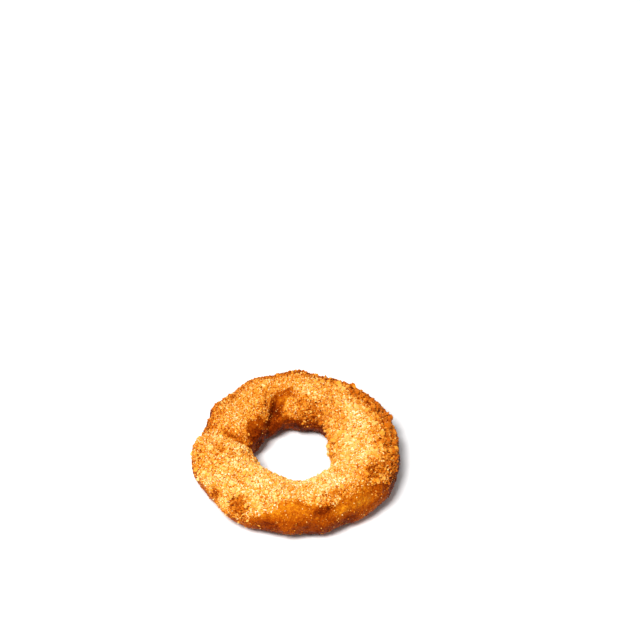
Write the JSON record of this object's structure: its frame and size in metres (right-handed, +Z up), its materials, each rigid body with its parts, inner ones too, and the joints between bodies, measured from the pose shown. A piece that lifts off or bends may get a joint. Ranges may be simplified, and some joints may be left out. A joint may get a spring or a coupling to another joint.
{
  "type": "onion ring",
  "caption": "Thick round onion ring in a rough fried crumb crust, lying flat, with an open hole through its middle.",
  "frame": {"origin": "centre of the bounding box, at the flat underside that the ring rests on", "axes": "+Z up through the hole, -Y towards the side that faces the viewer, +X to the viewer's right"},
  "size_m": [0.078, 0.0772, 0.0183],
  "materials": {
    "crust": "golden fried crumb coat, rough and slightly oily"
  },
  "bodies": {
    "root": {"onion_ring": "crust"}
  },
  "joints": []
}
